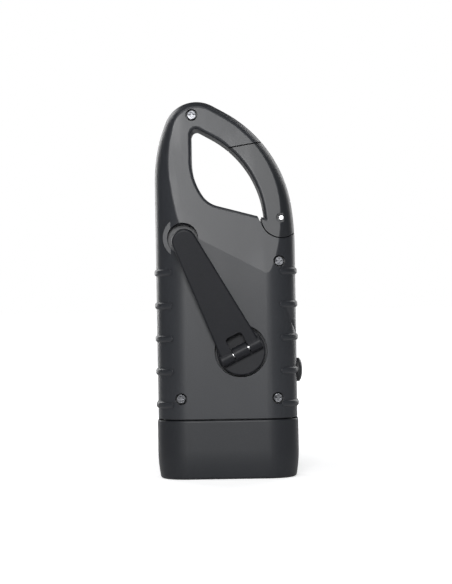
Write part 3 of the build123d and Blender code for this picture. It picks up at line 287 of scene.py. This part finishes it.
lamp_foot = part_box("leds")[1][2]
lamp_pitch = 0.0146
cup_x, cup_radius, cup_depth = -0.0004, 0.00085, 0.0030
post_x, post_radius, post_depth = 0.0012, 0.0003, 0.0036
leg_metal = plated("leg_metal", paint(170, 171, 174), paint(212, 213, 215), 0.25)
phosphor = Finish("phosphor", Roughness=0.6)
crystals = phosphor.speckle(0.0001, 3.0)
phosphor.feed("Base Color", phosphor.blend(crystals, paint(214, 178, 60), paint(238, 210, 104)))
phosphor.relief(crystals, 0.00001)
for number, x in enumerate((-lamp_pitch, 0.0, lamp_pitch)):
    bpy.ops.object.select_all(action="DESELECT")
    bpy.ops.mesh.primitive_cylinder_add(vertices=28, radius=cup_radius, depth=cup_depth,
                                        location=(x + cup_x, 0.0, lamp_foot - 0.0016))
    cup = start(f"lamp_cup_{number}")
    pick(cup, 2, -1)
    bpy.ops.mesh.extrude_region_move(TRANSFORM_OT_translate={"value": (0, 0, -0.0008)})
    bpy.ops.transform.resize(value=(1.25, 1.25, 1.0))
    bpy.ops.mesh.inset(thickness=0.0003)
    bpy.ops.mesh.extrude_region_move(TRANSFORM_OT_translate={"value": (0, 0, 0.0004)})
    bpy.ops.transform.resize(value=(0.7, 0.7, 1.0))
    close_up(cup, leg_metal, "root")

    bpy.ops.object.select_all(action="DESELECT")
    bpy.ops.mesh.primitive_cylinder_add(vertices=16, radius=post_radius, depth=post_depth,
                                        location=(x + post_x, 0.0, lamp_foot - 0.0019))
    post = start(f"lamp_post_{number}")
    pick(post, 2, -1)
    bpy.ops.mesh.extrude_region_move(TRANSFORM_OT_translate={"value": (0, 0, -0.0003)})
    bpy.ops.transform.resize(value=(0.5, 0.5, 1.0))
    close_up(post, leg_metal, "root")

    bpy.ops.object.select_all(action="DESELECT")
    bpy.ops.mesh.primitive_uv_sphere_add(segments=20, ring_count=10, radius=0.00062,
                                         location=(x + cup_x, 0.0, lamp_foot - 0.0036))
    bpy.context.object.scale = (1.0, 1.0, 0.6)
    glow = start(f"lamp_phosphor_{number}")
    pick(glow, 2, 1, 0.6)
    bpy.ops.transform.resize(value=(1.0, 1.0, 0.3))
    close_up(glow, phosphor, "root")


# Lamp board: a white-masked glass-epoxy plate behind the reflector, with a
# raised land for each lamp lead and copper tracks that show under the mask.
def circuit(name, mask_low, mask_high, axes, pitch):
    """Solder mask over copper tracks that run on a grid, with woven glass below."""
    finish = Finish(name, IOR=1.5)
    first, second = (finish.along(a) for a in axes)
    wander = finish.speckle(pitch * 4.0, 0.0) * pitch * 1.5
    to_and_fro = {"operation": "PINGPONG"}
    tracks = finish.node("ShaderNodeMath", to_and_fro, {0: first + wander, 1: pitch})
    crossings = finish.node("ShaderNodeMath", to_and_fro, {0: second + wander, 1: pitch * 1.6})
    copper = finish.ramp(tracks, pitch * 0.62, pitch * 0.7) * finish.ramp(
        finish.speckle(pitch * 3.0, 0.0), 0.4, 0.44)
    copper = copper + finish.ramp(crossings, pitch * 1.3, pitch * 1.38) * finish.ramp(
        finish.speckle(pitch * 2.4, 0.0), 0.52, 0.56)
    weave = finish.speckle(0.0004, 2.0)
    finish.feed("Base Color", finish.blend(copper * 0.7 + weave * 0.2, mask_low, mask_high))
    finish.feed("Roughness", 0.3 + 0.15 * weave)
    finish.relief(copper + weave * 0.2, 0.00002)
    return finish


dress(circuit("white_board", paint(214, 214, 208), paint(236, 235, 228), ("X", "Y"), 0.0011), "led_board")

# Main board: green-masked glass-epoxy, screwed to three posts of the rear
# shell, with copper tracks that show lighter under the mask.
dress(circuit("green_board", paint(18, 62, 38), paint(40, 104, 62), ("X", "Z"), 0.0009), "main_board")

# Board parts: an aluminium capacitor in its dark sleeve and three small chips,
# soldered on the rear of the main board.
board_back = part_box("main_board")[1][1]
sleeve = Finish("sleeve", IOR=1.5)
sleeve_grain = sleeve.speckle(0.0006, 3.0)
can_x, can_z, can_radius, can_height = 0.0055, 0.042, 0.002, 0.0042
sleeve_top = board_back + 0.0041
bare_top = sleeve.ramp(sleeve.along("Y"), sleeve_top, sleeve_top + 0.00005)
sleeve.feed("Base Color", sleeve.blend(bare_top, paint(28, 34, 58), paint(196, 198, 201)))
sleeve.feed("Metallic", bare_top)
sleeve.feed("Roughness", 0.34 + 0.12 * sleeve_grain)
sleeve.relief(sleeve_grain, 0.000008, 0.00006)
bpy.ops.object.select_all(action="DESELECT")
bpy.ops.mesh.primitive_cylinder_add(vertices=40, radius=can_radius, depth=can_height,
                                    rotation=(math.pi / 2, 0, 0),
                                    location=(can_x, board_back + can_height / 2, can_z))
capacitor = start("capacitor")
pick(capacitor, 1, 1)
bpy.ops.mesh.inset(thickness=0.0001)
bpy.ops.mesh.extrude_region_move(TRANSFORM_OT_translate={"value": (0, 0.0003, 0)})
bpy.ops.mesh.inset(thickness=0.00025)
bpy.ops.mesh.extrude_region_move(TRANSFORM_OT_translate={"value": (0, -0.00012, 0)})
pick(capacitor, 1, -1)
bpy.ops.mesh.inset(thickness=0.00015)
bpy.ops.mesh.extrude_region_move(TRANSFORM_OT_translate={"value": (0, 0.0001, 0)})
close_up(capacitor, sleeve, "root")
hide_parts("board_components")

chip_epoxy = moulded("chip_epoxy", paint(24, 24, 26), paint(36, 36, 38), 0.5, grain=0.000006, rub=0.3)
# Each chip: x, z, length, width, height, and legs on a side.
chips = [(0.014, 0.040, 0.0044, 0.0032, 0.0015, 4), (0.01375, 0.04525, 0.0019, 0.0012, 0.0012, 2),
         (0.0155, 0.0351, 0.002, 0.001, 0.001, 2)]
for number, (x, z, length, width, height, legs) in enumerate(chips):
    bpy.ops.object.select_all(action="DESELECT")
    bpy.ops.mesh.primitive_cube_add(size=1.0, location=(x, board_back + 0.0001 + height / 2, z))
    bpy.context.object.scale = (length, height - 0.0002, width)
    chip = start(f"chip_{number}")
    pick(chip, 1, 1)
    bpy.ops.transform.resize(value=(0.93, 1.0, 0.9))
    bpy.ops.mesh.select_all(action="SELECT")
    bpy.ops.mesh.bevel(offset=0.00008, segments=2)
    close_up(chip, chip_epoxy, "root")
    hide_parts("board_components")
    for side in (-1, 1):
        for leg in range(legs):
            leg_x = x + (leg - (legs - 1) / 2) * length / (legs + 0.4)
            bpy.ops.object.select_all(action="DESELECT")
            bpy.ops.mesh.primitive_cube_add(size=1.0, location=(leg_x, board_back + 0.0003,
                                                                z + side * (width / 2 + 0.00012)))
            bpy.context.object.scale = (0.00036, 0.0004, 0.0003)
            foot = start(f"chip_{number}_leg_{'ab'[side > 0]}{leg}")
            pick(foot, 2, side)
            bpy.ops.transform.translate(value=(0, -0.0001, side * 0.0001))
            bpy.ops.mesh.select_all(action="SELECT")
            bpy.ops.mesh.bevel(offset=0.00005, segments=1)
            close_up(foot, leg_metal, "root")
            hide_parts("board_components")

# Gate spring: hard-drawn wire wound on the gate's pin, one leg up towards the
# gate and one down in the body, which keeps the gate shut.
pin_x, pin_z = 0.020, 0.0927
wire, coil_radius, turns = 0.00028, 0.00145, 4
leg_up, leg_down, leg_y = 0.0064, 0.0055, 0.0004
spring_wire = plated("spring_wire", paint(150, 151, 154), paint(196, 197, 199), 0.24)
bpy.ops.object.select_all(action="DESELECT")
bpy.ops.mesh.primitive_circle_add(vertices=10, radius=wire, fill_type="NGON",
                                  location=(coil_radius, -turns * wire * 1.05, 0.0))
spring = start("gate_spring_coil")
bpy.ops.object.mode_set(mode="OBJECT")
winding = spring.modifiers.new("wound", "SCREW")
winding.axis = "Y"
winding.screw_offset = 2.1 * wire
winding.iterations = turns
winding.steps = winding.render_steps = 36
bpy.ops.object.modifier_apply(modifier=winding.name)
bpy.ops.transform.translate(value=(pin_x, 0.0, pin_z))
bpy.ops.object.transform_apply(location=True, rotation=True, scale=True)
bpy.ops.object.mode_set(mode="EDIT")
bpy.ops.mesh.select_all(action="SELECT")
bpy.ops.mesh.remove_doubles(threshold=1e-6)
close_up(spring, spring_wire, "root")
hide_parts("gate_spring")
for name, side, reach in (("gate_spring_leg_up", 1, leg_up), ("gate_spring_leg_down", -1, leg_down)):
    bpy.ops.object.select_all(action="DESELECT")
    middle = (pin_x + side * coil_radius, side * leg_y, pin_z + side * reach / 2)
    bpy.ops.mesh.primitive_cylinder_add(vertices=10, radius=wire, depth=reach, location=middle)
    leg = start(name)
    pick(leg, 2, side)
    bpy.ops.mesh.inset(thickness=0.00008)
    bpy.ops.transform.translate(value=(0, 0, side * 0.00006))
    close_up(leg, spring_wire, "root")
    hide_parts("gate_spring")

# Gears: white acetal wheels with their pinions moulded on and smears of grease,
# and the black nylon drive gear that the crank shaft turns.
acetal = moulded("acetal", paint(206, 204, 196), paint(226, 224, 217), 0.32, grain=0.000004, rub=0.3)
greasy = acetal.ramp(acetal.speckle(0.003, 3.0), 0.52, 0.66)
acetal_tone = Signal(acetal, acetal.skin.inputs["Base Color"].links[0].from_socket)
acetal.feed("Base Color", acetal.blend(greasy * 0.35, acetal_tone, paint(178, 164, 120)))
acetal.feed("Roughness", 0.36 - greasy * 0.2)
dress(acetal, "gear_1", "gear_2")
gear_nylon = moulded("gear_nylon", paint(30, 30, 32), paint(42, 42, 44), 0.36, grain=0.000006, rub=0.4)
dress(gear_nylon, "drive_gear")

# Crank shaft and rotor pinion: the shaft is turned steel with a squared end for
# the drive gear, the pinion is cut from brass bar and pressed on the rotor shaft.
turned_steel = plated("turned_steel", paint(158, 160, 164), paint(200, 201, 204), 0.26, (1.0, 6.0, 1.0))
dress(turned_steel, "crank_shaft")
cut_brass = plated("cut_brass", paint(176, 138, 66), paint(214, 178, 96), 0.22, (1.0, 4.0, 1.0))
dress(cut_brass, "rotor_pinion")

# Gearbox plate and generator can: galvanised sheet, punched and drawn, with
# the spangle of the zinc and fine press marks.
galvanised = Finish("galvanised", Metallic=1.0)
spangles_per_metre = 620.0
spangle = galvanised.node("ShaderNodeTexVoronoi", None,
                          {"Vector": galvanised.spot, "Scale": spangles_per_metre}, "Color")
spangle_tone = galvanised.node("ShaderNodeSeparateColor", None, {0: spangle})
press_lines = galvanised.speckle(0.0003, 2.0, (0.1, 1.0, 1.0))
galvanised.feed("Base Color", galvanised.blend(spangle_tone, paint(160, 163, 167), paint(196, 198, 201)))
galvanised.feed("Roughness", 0.26 + 0.16 * spangle_tone + 0.05 * press_lines)
galvanised.relief(press_lines, 0.000004, 0.0001)
dress(galvanised, "gearbox_plate", "generator_can")

# Stator coil and rotor magnet: enamelled copper wire wound in even layers on
# a black bobbin, round a ring magnet of sintered ferrite.
coil_low, coil_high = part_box("stator_coil")[0][1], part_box("stator_coil")[1][1]
windings = Finish("windings", IOR=1.5)
across_coil = windings.along("Y")
flange, flange_blur, coil_wire = 0.0006, 0.00015, 0.00011
above_low = windings.ramp(across_coil, coil_low + flange, coil_low + flange + flange_blur)
below_high = windings.ramp(across_coil, coil_high - flange, coil_high - flange - flange_blur)
in_slot = above_low * below_high
wire_wave = windings.node("ShaderNodeMath", {"operation": "PINGPONG"}, {0: across_coil, 1: coil_wire})
wire_crown_and_painted_shade = wire_wave * (1 / coil_wire)
# Painted shade and painted highlight: the enamel is painted dark in the grooves between turns and light on
# their crowns; the same profile also raises the turns.
enamel_with_painted_shade = windings.blend(wire_crown_and_painted_shade, paint(120, 52, 22), paint(206, 118, 62))
windings.feed("Base Color", windings.blend(in_slot, paint(26, 26, 28), enamel_with_painted_shade))
windings.feed("Metallic", in_slot * 0.85)
windings.feed("Roughness", 0.42 - in_slot * 0.14)
windings.relief(wire_crown_and_painted_shade * in_slot, 0.00006)
dress(windings, "stator_coil")
ferrite = moulded("ferrite", paint(44, 44, 46), paint(62, 61, 61), 0.52, grain=0.00001, rub=0.6)
dress(ferrite, "rotor_magnet")

# Switch: a small black phenolic push switch under the button, with an
# off-white plunger that the button's back rests on.
phenolic = moulded("phenolic", paint(24, 24, 25), paint(36, 36, 37), 0.4, grain=0.000005)
dress(phenolic, "switch_body")
plunger_plastic = moulded("plunger_plastic", paint(196, 192, 180), paint(214, 210, 199), 0.38, grain=0.000003)
dress(plunger_plastic, "switch_plunger")

# Cell and its contacts: a stainless rechargeable button cell in the rear
# cradle, with two nickel-plated tabs welded on.
cell_steel = plated("cell_steel", paint(178, 179, 181), paint(214, 214, 215), 0.18, (0.2, 1.0, 1.0))
dress(cell_steel, "battery_cell")
nickel_tabs = plated("nickel_tabs", paint(188, 184, 174), paint(220, 216, 206), 0.24, (1.0, 1.0, 0.15))
dress(nickel_tabs, "battery_contacts")


# Leads: stranded copper in soft coloured jackets, soldered at both ends.
# One lead of each pair is red and the other black.
def jacketed(name, axis, border, *others):
    """Red jacket on one side of a border, black on the other."""
    finish = Finish(name, IOR=1.5)
    strands = finish.speckle(0.0005, 2.0)
    red = finish.along(axis) > border
    finish.feed("Base Color", finish.blend(red, paint(28, 28, 30), paint(168, 30, 26)))
    finish.feed("Roughness", 0.4 + 0.1 * strands)
    finish.relief(strands, 0.00002)
    dress(finish, *others)


jacketed("generator_jackets", "X", 0.0035, "generator_leads")
jacketed("battery_jackets", "Z", 0.0365, "battery_leads")
jacketed("lamp_jackets", "X", 0.0042, "lamp_leads")

# Table top: a plain pale surface that runs out of sight. It shows white to the camera,
# with a faint painted shadow close to the torch over the soft shadow the lamps cast.
bpy.ops.object.select_all(action="DESELECT")
table_z, table_width = -0.00005, 12.0
bpy.ops.mesh.primitive_plane_add(size=1.0, location=(0.0, 0.0, table_z))
table = start("table_top")
bpy.ops.mesh.select_all(action="SELECT")
bpy.ops.transform.resize(value=(table_width, table_width, 1.0))
bpy.ops.mesh.subdivide(number_cuts=3)
bpy.ops.object.mode_set(mode="OBJECT")
table_finish = Finish("table_finish", Roughness=0.9, Specular_IOR_Level=0.1, Emission_Strength=1.0)
camera_ray = table_finish.node("ShaderNodeLightPath", output="Is Camera Ray")
clear_ray = table_finish.node("ShaderNodeLightPath", output="Is Transmission Ray")
paper = table_finish.speckle(0.02, 3.0)
table_finish.feed("Base Color", table_finish.blend(paper, paint(234, 234, 235), paint(238, 238, 239)))
from_torch = table_finish.node("ShaderNodeVectorMath", {"operation": "LENGTH"},
                               {0: table_finish.spot}, "Value")
# Painted shadow: the glow the camera sees is painted darker close to the torch.
painted_shadow_near_torch = table_finish.ramp(from_torch, 0.05, 0.3, 0.6, 1.0)
table_finish.feed("Emission Color", (camera_ray + clear_ray) * painted_shadow_near_torch)
table.data.materials.append(table_finish.material)

# Studio: a dim tent all round, a soft box above the camera, a wider one
# overhead and one behind on each side, as in a catalogue picture.
world = bpy.data.worlds.new("tent")
bpy.context.scene.world = world
world.use_nodes = True
tent = world.node_tree
tent_light = tent.nodes["Background"]
tent_light.inputs["Color"].default_value = (0.9, 0.95, 1.0, 1.0)
tent_light.inputs["Strength"].default_value = 0.05
white = tent.nodes.new("ShaderNodeBackground")
white.inputs["Color"].default_value = (1.0, 1.0, 1.0, 1.0)
path = tent.nodes.new("ShaderNodeLightPath")
either = tent.nodes.new("ShaderNodeMath")
either.operation = "MAXIMUM"
tent.links.new(path.outputs["Is Camera Ray"], either.inputs[0])
tent.links.new(path.outputs["Is Transmission Ray"], either.inputs[1])
choose = tent.nodes.new("ShaderNodeMixShader")
tent.links.new(either.outputs[0], choose.inputs[0])
tent.links.new(tent_light.outputs[0], choose.inputs[1])
tent.links.new(white.outputs[0], choose.inputs[2])
tent.links.new(choose.outputs[0], tent.nodes["World Output"].inputs["Surface"])


def soft_box(name, place, width, height, watts):
    """A soft box that looks at the middle of the torch."""
    torch_middle = Vector((0.0, 0.0, 0.07))
    light = bpy.data.lights.new(name, "AREA")
    light.shape = "RECTANGLE"
    light.size, light.size_y, light.energy = width, height, watts
    lamp = bpy.data.objects.new(name, light)
    bpy.context.collection.objects.link(lamp)
    lamp.location = place
    lamp.rotation_euler = (torch_middle - Vector(place)).to_track_quat("-Z", "Y").to_euler()


soft_box("box_front", (-0.05, -0.97, 0.34), 0.26, 0.22, 5.5)
soft_box("box_above", (-0.1, -0.45, 0.95), 0.6, 0.4, 2.6)
soft_box("box_back_left", (-0.5, 0.8, 0.3), 0.3, 0.8, 2.9)
soft_box("box_back_right", (0.5, 0.8, 0.3), 0.3, 0.8, 2.4)

# Camera: level with the middle of the torch and straight in front of it, with
# the small roll of the picture.
eye_distance, eye_height, eye_roll = 0.7068, 0.0665, math.radians(0.934)
eye = bpy.data.cameras.new("eye")
eye.sensor_fit = "VERTICAL"
eye.sensor_height = 36.0
eye.lens = 120.5
camera = bpy.data.objects.new("eye", eye)
bpy.context.collection.objects.link(camera)
camera.location = (0.0, -eye_distance, eye_height)
camera.rotation_euler = (math.pi / 2, eye_roll, 0.0)
bpy.context.scene.camera = camera
bpy.context.scene.view_settings.view_transform = "Standard"
